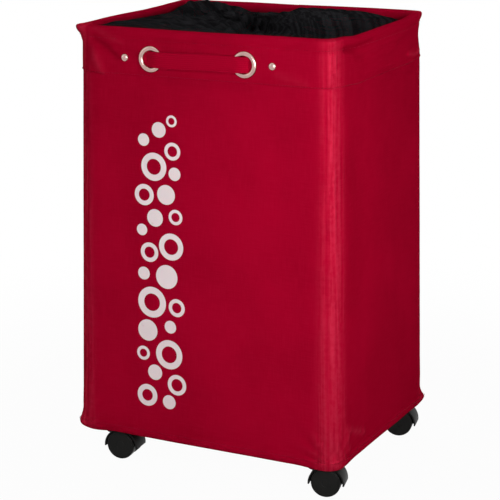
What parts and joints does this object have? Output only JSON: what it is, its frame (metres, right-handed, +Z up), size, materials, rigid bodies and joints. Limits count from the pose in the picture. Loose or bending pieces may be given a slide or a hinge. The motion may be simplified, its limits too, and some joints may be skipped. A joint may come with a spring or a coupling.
{
  "type": "laundry bin on castors",
  "caption": "Tall rectangular fabric laundry bin with a framed rim, strap handles through metal eyelets, a drawn net cover over its mouth and swivelling twin-wheel castors.",
  "frame": {"origin": "on the floor under the middle of the bin", "axes": "+Z up; the wide front faces -Y; +X runs to the right along the front, seen from the front"},
  "size_m": [0.3908, 0.306, 0.604],
  "materials": {
    "red_cloth": "woven polyester, slight sheen",
    "red_strap": "woven polyester",
    "red_piping": "woven polyester",
    "black_net": "fine knitted net",
    "chrome": "polished",
    "steel_tube": "powder coated",
    "corner_plastic": "moulded",
    "board": "pressed fibre board",
    "zinc_steel": "zinc plated",
    "castor_plastic": "moulded, fine grain",
    "wheel_plastic": "moulded, fine grain"
  },
  "bodies": {
    "bag": {"base_board": "board", "base_cover": "red_cloth", "base_piping": "red_piping", "castor_back_left_plate": "zinc_steel", "castor_back_right_plate": "zinc_steel", "castor_front_left_plate": "zinc_steel", "castor_front_right_plate": "zinc_steel", "castor_screws": "zinc_steel", "eyelet_washers": "zinc_steel", "eyelets": "chrome", "hem_back": "red_cloth", "hem_front": "red_cloth", "hem_left": "red_cloth", "hem_right": "red_cloth", "net_collar": "black_net", "net_cover": "black_net", "panel_back": "red_cloth", "panel_front": "red_cloth", "panel_left": "red_cloth", "panel_right": "red_cloth", "pole_back_left": "steel_tube", "pole_back_right": "steel_tube", "pole_front_left": "steel_tube", "pole_front_right": "steel_tube", "pole_sleeve_back_left": "red_cloth", "pole_sleeve_back_right": "red_cloth", "pole_sleeve_front_left": "red_cloth", "pole_sleeve_front_right": "red_cloth", "pole_sockets": "corner_plastic", "rim_connector_back_left": "corner_plastic", "rim_connector_back_right": "corner_plastic", "rim_connector_front_left": "corner_plastic", "rim_connector_front_right": "corner_plastic", "rim_tube_back": "steel_tube", "rim_tube_front": "steel_tube", "rim_tube_left": "steel_tube", "rim_tube_right": "steel_tube", "rivets": "chrome", "strap_ends_back": "red_strap", "strap_ends_front": "red_strap"},
    "castor_front_left": {"castor_front_left_hood": "castor_plastic", "castor_front_left_pins": "zinc_steel"},
    "castor_front_left_wheel_front": {"castor_front_left_wheel_front": "wheel_plastic"},
    "castor_front_left_wheel_back": {"castor_front_left_wheel_back": "wheel_plastic"},
    "castor_front_right": {"castor_front_right_hood": "castor_plastic", "castor_front_right_pins": "zinc_steel"},
    "castor_front_right_wheel_front": {"castor_front_right_wheel_front": "wheel_plastic"},
    "castor_front_right_wheel_back": {"castor_front_right_wheel_back": "wheel_plastic"},
    "castor_back_right": {"castor_back_right_hood": "castor_plastic", "castor_back_right_pins": "zinc_steel"},
    "castor_back_right_wheel_front": {"castor_back_right_wheel_front": "wheel_plastic"},
    "castor_back_right_wheel_back": {"castor_back_right_wheel_back": "wheel_plastic"},
    "castor_back_left": {"castor_back_left_hood": "castor_plastic", "castor_back_left_pins": "zinc_steel"},
    "castor_back_left_wheel_front": {"castor_back_left_wheel_front": "wheel_plastic"},
    "castor_back_left_wheel_back": {"castor_back_left_wheel_back": "wheel_plastic"},
    "strap_grip_front": {"strap_grip_front": "red_strap"},
    "strap_grip_back": {"strap_grip_back": "red_strap"}
  },
  "joints": [
    {"name": "castor_front_left_swivel", "type": "hinge", "parent": "bag", "child": "castor_front_left", "pos_m": [-0.155, -0.126, 0.0436], "axis": [0, 0, 1], "continuous": true},
    {"name": "castor_front_left_wheel_front_spin", "type": "hinge", "parent": "castor_front_left", "child": "castor_front_left_wheel_front", "pos_m": [-0.13906, -0.12461, 0.02], "axis": [-0.0872, 0.9962, 0], "continuous": true},
    {"name": "castor_front_left_wheel_back_spin", "type": "hinge", "parent": "castor_front_left", "child": "castor_front_left_wheel_back", "pos_m": [-0.13906, -0.12461, 0.02], "axis": [-0.0872, 0.9962, 0], "continuous": true},
    {"name": "castor_front_right_swivel", "type": "hinge", "parent": "bag", "child": "castor_front_right", "pos_m": [0.155, -0.126, 0.0436], "axis": [0, 0, 1], "continuous": true},
    {"name": "castor_front_right_wheel_front_spin", "type": "hinge", "parent": "castor_front_right", "child": "castor_front_right_wheel_front", "pos_m": [0.17059, -0.1224, 0.02], "axis": [-0.225, 0.9744, 0], "continuous": true},
    {"name": "castor_front_right_wheel_back_spin", "type": "hinge", "parent": "castor_front_right", "child": "castor_front_right_wheel_back", "pos_m": [0.17059, -0.1224, 0.02], "axis": [-0.225, 0.9744, 0], "continuous": true},
    {"name": "castor_back_right_swivel", "type": "hinge", "parent": "bag", "child": "castor_back_right", "pos_m": [0.155, 0.126, 0.0436], "axis": [0, 0, 1], "continuous": true},
    {"name": "castor_back_right_wheel_front_spin", "type": "hinge", "parent": "castor_back_right", "child": "castor_back_right_wheel_front", "pos_m": [0.17065, 0.12933, 0.02], "axis": [-0.2079, 0.9781, 0], "continuous": true},
    {"name": "castor_back_right_wheel_back_spin", "type": "hinge", "parent": "castor_back_right", "child": "castor_back_right_wheel_back", "pos_m": [0.17065, 0.12933, 0.02], "axis": [-0.2079, 0.9781, 0], "continuous": true},
    {"name": "castor_back_left_swivel", "type": "hinge", "parent": "bag", "child": "castor_back_left", "pos_m": [-0.155, 0.126, 0.0436], "axis": [0, 0, 1], "continuous": true},
    {"name": "castor_back_left_wheel_front_spin", "type": "hinge", "parent": "castor_back_left", "child": "castor_back_left_wheel_front", "pos_m": [-0.1392, 0.1285, 0.02], "axis": [-0.1564, 0.9877, 0], "continuous": true},
    {"name": "castor_back_left_wheel_back_spin", "type": "hinge", "parent": "castor_back_left", "child": "castor_back_left_wheel_back", "pos_m": [-0.1392, 0.1285, 0.02], "axis": [-0.1564, 0.9877, 0], "continuous": true},
    {"name": "strap_front_pull", "type": "slide", "parent": "bag", "child": "strap_grip_front", "axis": [0, -0.9999, 0.0136], "range_m": [0, 0.018]},
    {"name": "strap_back_pull", "type": "slide", "parent": "bag", "child": "strap_grip_back", "axis": [0, 0.9999, 0.0136], "range_m": [0, 0.018]}
  ]
}
